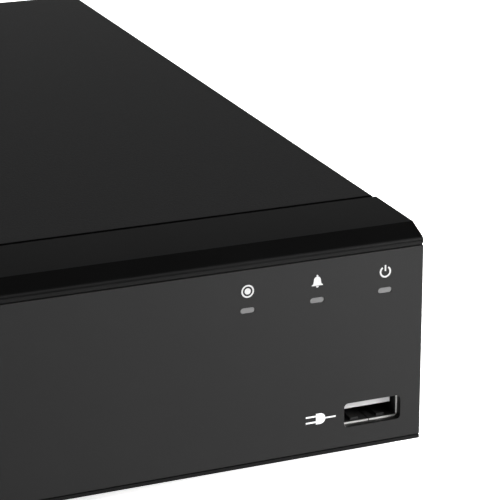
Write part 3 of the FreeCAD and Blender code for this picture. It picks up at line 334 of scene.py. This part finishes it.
def arc(centre, radius, start, end, steps):
    """Points along an arc, angles in degrees."""
    points = []
    for i in range(steps + 1):
        angle = math.radians(start + (end - start) * i / steps)
        points.append((centre[0] + radius * math.cos(angle), centre[1] + radius * math.sin(angle)))
    return points


def disc(centre, radius, steps=24):
    return arc(centre, radius, 0, 360 * (steps - 1) / steps, steps - 1)


def band(centre, inner, outer, start, end, steps=24):
    """Part of a ring."""
    return arc(centre, outer, start, end, steps) + arc(centre, inner, end, start, steps)


def bar(left, low, right, high):
    return [(left, low), (right, low), (right, high), (left, high)]


def add_block(bm, low, high):
    """A box between two corners in metres."""
    add_prism(bm, bar(low[0], low[1], high[0], high[1]),
              lambda u, v, side: Vector((u, v, high[2] if side else low[2])))


def add_rod(bm, centre, radius, low, high, steps=20):
    """An upright rod between two heights, in metres."""
    add_prism(bm, disc(centre, radius, steps), lambda u, v, side: Vector((u, v, high if side else low)))


def piece_from(bm, name, material, body=ROOT, soft=0.0):
    """Turn a bmesh into a piece that rides on a body, with its edges eased."""
    bmesh.ops.recalc_face_normals(bm, faces=bm.faces)
    mesh = bpy.data.meshes.new(name)
    bm.to_mesh(mesh)
    bm.free()
    mesh.materials.append(material)
    item = bpy.data.objects.new(name, mesh)
    scene.collection.objects.link(item)
    if soft:
        bevel = item.modifiers.new("soft_edge", "BEVEL")
        bevel.width = soft * MM
        bevel.segments = 2
        bevel.limit_method = "ANGLE"
        bevel.angle_limit = math.radians(30)
    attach(item, body)
    return item


# ---------------------------------------------------------------- printed marks

INK_PROUD = 0.03 * MM
INK_SUNK = 0.02 * MM
FACING = {
    "front": (Vector((1, 0, 0)), Vector((0, -1, 0))),
    "rear": (Vector((-1, 0, 0)), Vector((0, 1, 0))),
}


def printed(name, shapes, place, facing, material, body=ROOT, scale=1.0):
    """Flat shapes in millimetres as a thin raised print on an upright face."""
    across, out = FACING[facing]
    bm = bmesh.new()
    for shape in shapes:
        add_prism(bm, shape, lambda u, v, side: (
            place + (across * u + Vector((0, 0, v))) * scale * MM
            + out * (INK_PROUD if side else -INK_SUNK)))
    return piece_from(bm, name, material, body)


def record_mark():
    """A solid dot in a ring."""
    return [disc((0, 0), 0.55), band((0, 0), 0.88, 1.14, 0, 358, 40)]


def alarm_mark():
    """A bell."""
    dome = arc((0, 0.2), 0.64, 180, 0, 14)
    right = [(0.74, -0.46), (1.02, -0.66), (1.02, -0.80)]
    shell = dome + right + [(-u, v) for u, v in reversed(right)]
    return [shell, arc((0, -0.88), 0.26, 180, 360, 10), disc((0, 0.98), 0.17, 12)]


def power_mark():
    """A broken ring with an upright bar."""
    return [band((0, -0.06), 0.78, 1.06, 125, 415, 36), bar(-0.14, 0.06, 0.14, 1.14)]


def plug_mark():
    """A plug with two blades and a tail of cord."""
    shell = [(-0.7, -1.15)] + arc((0.2, 0), 1.15, -90, 90, 16) + [(-0.7, 1.15)]
    blades = [bar(-2.9, up - 0.17, -0.7, up + 0.17) for up in (-0.62, 0.62)]
    return [shell] + blades + [bar(1.3, -0.15, 3.6, 0.15)]


def digit(number):
    """A plain numeral from 1 to 4 in straight strokes, 2 mm tall."""
    wide, tall, thick = 0.55, 1.0, 0.26
    strokes = {
        "top": bar(-wide, tall - thick, wide, tall),
        "middle": bar(-wide, -thick / 2, wide, thick / 2),
        "foot": bar(-wide, -tall, wide, thick - tall),
        "left_up": bar(-wide, 0, thick - wide, tall),
        "left_down": bar(-wide, -tall, thick - wide, 0),
        "right_up": bar(wide - thick, 0, wide, tall),
        "right_down": bar(wide - thick, -tall, wide, 0),
        "stem": bar(-thick / 2, -tall, thick / 2, tall),
    }
    parts = {
        1: ("stem",),
        2: ("top", "right_up", "middle", "left_down", "foot"),
        3: ("top", "right_up", "middle", "right_down", "foot"),
        4: ("left_up", "middle", "right_up", "right_down"),
    }
    return [strokes[part] for part in parts[number]]


def middle_of(node):
    low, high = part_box(node)
    return (low + high) / 2


def front_marks():
    """Marks over the three lights and beside the socket."""
    face = plate_low.y
    over_light = 4.0 * MM
    from_socket = Vector((-11.75, 0, 0.35)) * MM
    for name, shapes in (("record", record_mark()), ("alarm", alarm_mark()), ("power", power_mark())):
        centre = middle_of(f"{name}_light_pipe")
        place = Vector((centre.x, face, centre.z + over_light))
        printed(f"{name}_mark", shapes, place, "front", INK, scale=1.15)
    centre = middle_of("front_usb_shell")
    place = Vector((centre.x, face, centre.z)) + from_socket
    printed("socket_mark", plug_mark(), place, "front", BRIGHT_INK)


def rear_marks():
    """Numbers by the video sockets and arrows by the sound sockets."""
    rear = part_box("base_chassis")[1].y
    low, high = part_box("video_jack_shells")
    flange = 6.7 * MM
    columns = (high.x - flange, low.x + flange)
    rows = (low.z + flange, high.z - flange)
    beside, above = 6.4 * MM, 7.0 * MM
    for i in range(4):
        place = Vector((columns[i % 2] + beside, rear, rows[i // 2] + above))
        printed(f"video_number_{i + 1}", digit(i + 1), place, "rear", INK)
    low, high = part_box("audio_jack_shells")
    barrel = 4.85 * MM
    x = (low.x + high.x) / 2 - 7.6 * MM
    arrow = [bar(-1.3, -0.16, 0.2, 0.16), [(0.2, -0.7), (1.3, 0), (0.2, 0.7)]]
    for name, z, sign in (("sound_in", low.z + barrel, -1), ("sound_out", high.z - barrel, 1)):
        shapes = [[(sign * u, v) for u, v in shape] for shape in arrow]
        printed(f"{name}_mark", shapes, Vector((x, rear, z)), "rear", INK)


def rocker_marks():
    """A bar and a ring on the two halves of the rocker."""
    rest_tilt = math.radians(10)
    half_slope = math.atan2(1.5, 4.9)  # rise and run of each half of the rocker
    pivot_depth, face_out, mark_up = 2.2 * MM, 3.4 * MM, 2.6 * MM
    centre = middle_of("power_switch_housing")
    pivot = Vector((centre.x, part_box("base_chassis")[1].y - pivot_depth, centre.z))
    turn = Matrix.Rotation(rest_tilt, 4, "X")
    stroke = [bar(-0.16, -1.0, 0.16, 1.0)]
    ring = [band((0, 0), 0.7, 1.0, 0, 358, 32)]
    for name, sign, shapes in (("on", 1, stroke), ("off", -1, ring)):
        lean = sign * half_slope
        along_face = turn @ Vector((0, math.sin(lean), math.cos(lean)))
        out = turn @ Vector((0, math.cos(lean), -math.sin(lean)))
        place = pivot + turn @ Vector((0, face_out, 0)) + along_face * (sign * mark_up)
        bm = bmesh.new()
        for shape in shapes:
            add_prism(bm, shape, lambda u, v, side: (
                place - Vector((u * MM, 0, 0)) + along_face * (v * MM)
                + out * (INK_PROUD if side else -INK_SUNK)))
        piece_from(bm, f"rocker_{name}_mark", BRIGHT_INK, "rocker")


front_marks()
rear_marks()
rocker_marks()


# ---------------------------------------------------------------- main board details

board_low, board_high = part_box("main_board")
BOARD_TOP = board_high.z
SUNK, PROUD = -0.02 * MM, 0.03 * MM  # the two faces of thin layers, from the surface they lie on
LARGE_PARTS = (
    "heat_sink", "memory_chips", "capacitors", "coin_cell_holder", "board_headers", "jack_blocks",
    "display_jack_shell", "network_jack_shell", "rear_usb_shell", "power_jack_housing",
    "main_board_screws", "drive_data_cable", "drive_power_cable", "fan_lead",
)
SMALL_KINDS = [  # kind, length, width and height in mm, the commonest first
    ("resistor", 1.6, 0.8, 0.45),
    ("resistor", 1.6, 0.8, 0.45),
    ("ceramic", 1.6, 0.8, 0.8),
    ("ceramic", 2.0, 1.25, 1.0),
    ("coil", 5.0, 5.0, 2.8),
    ("small_chip", 4.9, 3.9, 1.4),
]


def footprints(name):
    """Rectangles on the floor plane that a node's separate faces cover."""
    bm = bmesh.new()
    bm.from_mesh(NODES[name].data)
    seen = set()
    spans = []
    for start in bm.verts:
        if start in seen:
            continue
        seen.add(start)
        group, queue = [start], [start]
        while queue:
            for edge in queue.pop().link_edges:
                for vertex in edge.verts:
                    if vertex not in seen:
                        seen.add(vertex)
                        group.append(vertex)
                        queue.append(vertex)
        xs = [v.co.x for v in group]
        ys = [v.co.y for v in group]
        spans.append((min(xs), min(ys), max(xs), max(ys)))
    bm.free()
    return spans


def on_board(low_x, low_y, wide, deep, low_z, tall):
    """Corners of a box that stands on the board."""
    return (low_x, low_y, BOARD_TOP + low_z), (low_x + wide, low_y + deep, BOARD_TOP + low_z + tall)


def end_caps(bm, x, y, wide, deep, tall, turned):
    """The soldered caps at both ends of a resistor or ceramic."""
    cap, proud = 0.28 * MM, 0.02 * MM
    for end in (0, 1):
        beyond = (end * 2 - 1) * proud
        if turned:
            spot = (x - proud, y + end * (deep - cap) + beyond, wide + 2 * proud, cap)
        else:
            spot = (x + end * (wide - cap) + beyond, y - proud, cap, deep + 2 * proud)
        add_block(bm, *on_board(*spot, 0.0, tall + proud))


def chip_legs(bm, x, y, wide, deep, turned):
    """Four legs along each long side of a small chip."""
    pitch, foot, half_width, thick = 1.27 * MM, 0.9 * MM, 0.2 * MM, 0.25 * MM
    for number in range(4):
        shift = (number - 1.5) * pitch - half_width
        for end in (-1, 1):
            if turned:
                spot = (x - foot if end < 0 else x + wide, y + deep / 2 + shift, foot, 2 * half_width)
            else:
                spot = (x + wide / 2 + shift, y - foot if end < 0 else y + deep, 2 * half_width, foot)
            add_block(bm, *on_board(*spot, 0.0, thick))


def small_parts():
    """Resistors, capacitors, coils and small chips, set clear of the larger parts."""
    rng = random.Random(11)
    tries, grid, gap, margin, rear_margin = 190, 0.5 * MM, 0.7 * MM, 2 * MM, 3 * MM
    taken = [span for name in LARGE_PARTS for span in footprints(name)]
    meshes = {name: bmesh.new() for name in ("resistor", "ceramic", "coil", "small_chip", "solder")}
    for _ in range(tries):
        rank = int(rng.random() * 3 + (rng.random() ** 3) * 4)
        kind, long, short, tall = SMALL_KINDS[min(len(SMALL_KINDS) - 1, rank)]
        turned = rng.random() < 0.5
        wide, deep = (short, long) if turned else (long, short)
        wide, deep, tall = wide * MM, deep * MM, tall * MM
        x = rng.uniform(board_low.x + margin, board_high.x - margin - wide)
        y = rng.uniform(board_low.y + margin, board_high.y - rear_margin - deep)
        x, y = round(x / grid) * grid, round(y / grid) * grid
        if any(x < right + gap and left < x + wide + gap and y < back + gap and front < y + deep + gap
               for left, front, right, back in taken):
            continue
        taken.append((x, y, x + wide, y + deep))
        lift = 0.1 * MM if kind == "small_chip" else 0.0
        add_block(meshes[kind], *on_board(x, y, wide, deep, lift, tall))
        if kind in ("resistor", "ceramic"):
            end_caps(meshes["solder"], x, y, wide, deep, tall, turned)
        if kind == "small_chip":
            chip_legs(meshes["solder"], x, y, wide, deep, turned)
    piece_from(meshes["resistor"], "small_resistors", MATERIALS["chip"], soft=0.05)
    piece_from(meshes["ceramic"], "small_ceramics", CERAMIC, soft=0.1)
    piece_from(meshes["coil"], "coils", MATERIALS["chip"], soft=0.6)
    piece_from(meshes["small_chip"], "small_chips", MATERIALS["chip"], soft=0.12)
    piece_from(meshes["solder"], "solder_ends", SOLDER, soft=0.04)


def memory_legs():
    """Rows of bent legs at both ends of each memory chip."""
    bm = bmesh.new()
    smallest, count, pitch, half_width = 8 * MM, 13, 0.72 * MM, 0.15 * MM
    profile = [(0, 0.75), (0, 0.6), (0.35, 0.55), (0.5, 0), (1.1, 0), (1.1, 0.15), (0.62, 0.15), (0.45, 0.7)]
    for low_x, low_y, high_x, high_y in footprints("memory_chips"):
        if high_x - low_x < smallest or high_y - low_y < smallest:
            continue
        for end, face in ((-1, low_y), (1, high_y)):
            for number in range(count):
                x = (low_x + high_x) / 2 + (number - count // 2) * pitch
                add_prism(bm, profile, lambda u, v, side: Vector((
                    x + (half_width if side else -half_width), face + end * u * MM, BOARD_TOP + v * MM)))
    piece_from(bm, "memory_legs", SOLDER)


def add_trace(bm, points, width):
    """A flat copper track through points on the board, in metres."""
    for (ax, ay), (bx, by) in zip(points, points[1:]):
        along = Vector((bx - ax, by - ay)).normalized()
        side_step = Vector((-along.y, along.x)) * width / 2
        outline = [
            (ax - side_step.x, ay - side_step.y),
            (bx - side_step.x, by - side_step.y),
            (bx + side_step.x, by + side_step.y),
            (ax + side_step.x, ay + side_step.y),
        ]
        add_prism(bm, outline, lambda u, v, side: Vector((u, v, BOARD_TOP + (PROUD if side else SUNK))))


def add_plate(bm, spot):
    """A plated hole's ring at the end of a track."""
    add_rod(bm, spot, 0.42 * MM, BOARD_TOP - 0.02 * MM, BOARD_TOP + 0.05 * MM, 12)


def tracks():
    """Bundles of tracks from the processor to the memory, the sockets and the front, with their plates."""
    bm = bmesh.new()
    plates = bmesh.new()
    low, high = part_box("processor")
    middle = middle_of("processor")
    memory_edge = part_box("memory_chips")[1].x - 6 * MM
    width, pitch = 0.28 * MM, 0.75 * MM
    for number in range(20):
        y = middle.y + (number - 9.5) * pitch
        jog = (number - 9.5) * 0.35 * pitch
        bend = high.x + 6 * MM
        add_trace(bm, [(high.x, y), (bend, y), (bend + abs(jog), y + jog), (memory_edge, y + jog)], width)
    socket_edge = board_high.y - 16 * MM
    for name in ("network_jack_shell", "display_jack_shell", "monitor_jack_shell"):
        target = middle_of(name).x
        for number in range(8):
            shift = (number - 4.0) * pitch
            start = middle.x - 8 * MM + shift + (target - middle.x) * 0.25
            turn_y = high.y + 12 * MM + abs(shift) * 0.5
            end = target + shift
            level = turn_y + abs(end - start) * 0.35
            add_trace(bm, [(start, high.y), (start, turn_y), (end, level), (end, socket_edge)], width)
            add_plate(plates, (start, turn_y))
    front_edge = board_low.y + 8 * MM
    for number in range(16):
        x = low.x - 4 * MM - number * pitch
        y = low.y + number * pitch * 0.5
        end = x - 4 * MM
        add_trace(bm, [(low.x, y), (x, y), (end, y - 4 * MM), (end, front_edge)], width)
        add_plate(plates, (end, front_edge))
    piece_from(bm, "board_tracks", TRACK)
    piece_from(plates, "board_through_plates", SOLDER)


def can_tops():
    """The crossed scores on the tops of the capacitors."""
    crosses = bmesh.new()
    smallest, large, half_score = 5 * MM, 7 * MM, 0.12 * MM
    for low_x, low_y, high_x, high_y in footprints("capacitors"):
        wide, deep = high_x - low_x, high_y - low_y
        if wide < smallest or deep < smallest:
            continue
        top = BOARD_TOP + (11 if wide > large else 8) * MM
        x, y = (low_x + high_x) / 2, (low_y + high_y) / 2
        for angle in (0, math.pi / 2):
            dx, dy = math.cos(angle) * wide * 0.3, math.sin(angle) * wide * 0.3
            px, py = -math.sin(angle) * half_score, math.cos(angle) * half_score
            outline = [
                (x - dx - px, y - dy - py),
                (x + dx - px, y + dy - py),
                (x + dx + px, y + dy + py),
                (x - dx + px, y - dy + py),
            ]
            add_prism(crosses, outline, lambda u, v, side: Vector((u, v, top + (PROUD if side else SUNK))))
    piece_from(crosses, "capacitor_scores", MATERIALS["chip"])


small_parts()
memory_legs()
tracks()
can_tops()


# ---------------------------------------------------------------- hard drive details

def drive_label(top, left, right, rear):
    """A blank label with three coloured bands."""
    deep, edge, band_deep, step = 32 * MM, 3 * MM, 4 * MM, 9 * MM
    plate = bmesh.new()
    add_block(plate, (left, rear - deep, top - 0.02 * MM), (right, rear, top + 0.1 * MM))
    piece_from(plate, "drive_label", LABEL, soft=0.04)
    bands = bmesh.new()
    for number in range(3):
        y = rear - 26 * MM + number * step
        end = right - edge - number * 7 * MM
        add_block(bands, (left + edge, y, top + 0.09 * MM), (end, y + band_deep, top + 0.13 * MM))
    piece_from(bands, "drive_label_bands", BAND)


def lid_screws(top, spots):
    """Six screws with a star-shaped socket."""
    heads = bmesh.new()
    sockets = bmesh.new()
    for x, y in spots:
        add_rod(heads, (x, y), 2.3 * MM, top - 0.1 * MM, top + 0.45 * MM, 28)
        star = []
        for point in range(12):
            radius = (1.15 if point % 2 else 0.8) * MM
            angle = point * math.pi / 6
            star.append((x + radius * math.cos(angle), y + radius * math.sin(angle)))
        add_prism(sockets, star, lambda u, v, side: Vector((u, v, top + (0.47 if side else 0.3) * MM)))
    piece_from(heads, "drive_lid_screws", MATERIALS["screw_steel"], soft=0.2)
    piece_from(sockets, "drive_screw_sockets", MATERIALS["chip"])


def drive_details():
    """Blank labels and lid screws on the drive."""
    low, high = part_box("drive_lid")
    centre = (low + high) / 2
    spindle = middle_of("drive_platters")
    label = bmesh.new()
    pressed, thick = 0.32 * MM, 0.1 * MM
    add_rod(label, (spindle.x, spindle.y), 27 * MM, high.z - pressed, high.z - pressed + thick, 64)
    piece_from(label, "drive_round_label", LABEL)
    drive_label(high.z, centre.x - 38 * MM, centre.x + 12 * MM, high.y - 12 * MM)
    inset = 4 * MM
    columns = (low.x + inset, high.x - inset)
    rows = (low.y + inset, centre.y + 12 * MM, high.y - inset)
    lid_screws(high.z, [(x, y) for x in columns for y in rows])


drive_details()


# ---------------------------------------------------------------- floor and light

FLOOR_HALF = 8.0                            # middle of the floor to its edges, in metres
FLOOR_GREYS = (0.90, 0.92)                  # the clouds in its paint
GLOW_SPAN = (0.0, 0.2)                      # X where the glow of the floor starts and ends
GLOW_GREYS = (0.35, 1.85)                   # its strength there
SKY_STEPS = ((0.14, 0.10), (0.32, 0.01))    # place on the ramp and grey of the surroundings

# name, place, point aimed at, width and height in metres, power in watts
SOFTBOXES = (
    ("front_box", (0.5, -2.2, 2.6), (0.0, -0.3, 0.0), (3.4, 2.0), 41.0),
    ("left_box", (-2.6, 0.2, 2.4), (0.0, 0.0, 0.0), (1.6, 3.0), 22.0),
    ("back_box", (0.12, 0.43, 0.125), (0.05, 0.1, 0.05), (0.7, 0.07), 0.09),
    ("right_box", (0.47, -0.40, 0.24), (0.24, -0.24, 0.0), (0.2, 0.2), 3.5),
)


def make_floor():
    """A pale floor that glows more towards the right."""
    mesh = bpy.data.meshes.new("floor")
    corners = [(x * FLOOR_HALF, y * FLOOR_HALF, 0) for x, y in ((-1, -1), (1, -1), (1, 1), (-1, 1))]
    mesh.from_pydata(corners, [], [(0, 1, 2, 3)])
    floor = bpy.data.objects.new("floor", mesh)
    scene.collection.objects.link(floor)
    m = Maker("floor_paint", roughness=0.9, specular=0.1)
    dark, pale = FLOOR_GREYS
    m.colour(m.ramp(m.noise(3.0), [(0.3, grey(dark)), (0.7, grey(pale))]))
    weak, strong = GLOW_GREYS
    glow = m.ramp(m.along("X", *GLOW_SPAN), [(0.0, grey(weak)), (1.0, grey(strong))])
    m.links.new(glow, m.shader.inputs["Emission Color"])
    m.shader.inputs["Emission Strength"].default_value = 1.0
    mesh.materials.append(m.material)


def make_surroundings():
    """Dim light from all round, darker higher up."""
    world = bpy.data.worlds.new("world")
    scene.world = world
    world.use_nodes = True
    nodes, links = world.node_tree.nodes, world.node_tree.links
    way = nodes.new("ShaderNodeTexCoord").outputs["Generated"]
    height = nodes.new("ShaderNodeSeparateXYZ")
    links.new(way, height.inputs["Vector"])
    sky = nodes.new("ShaderNodeValToRGB")
    links.new(height.outputs["Z"], sky.inputs["Fac"])
    for element, (position, level) in zip(sky.color_ramp.elements, SKY_STEPS):
        element.position = position
        element.color = grey(level)
    links.new(sky.outputs["Color"], nodes["Background"].inputs["Color"])


def area(name, place, target, size, power):
    """A softbox aimed at a point."""
    data = bpy.data.lights.new(name, "AREA")
    data.shape = "RECTANGLE"
    data.size, data.size_y = size
    data.energy = power
    light = bpy.data.objects.new(name, data)
    light.visible_camera = False
    scene.collection.objects.link(light)
    light.location = place
    light.rotation_euler = (Vector(target) - Vector(place)).to_track_quat("-Z", "Y").to_euler()


make_floor()
make_surroundings()
for softbox in SOFTBOXES:
    area(*softbox)
scene.view_settings.view_transform = "Standard"
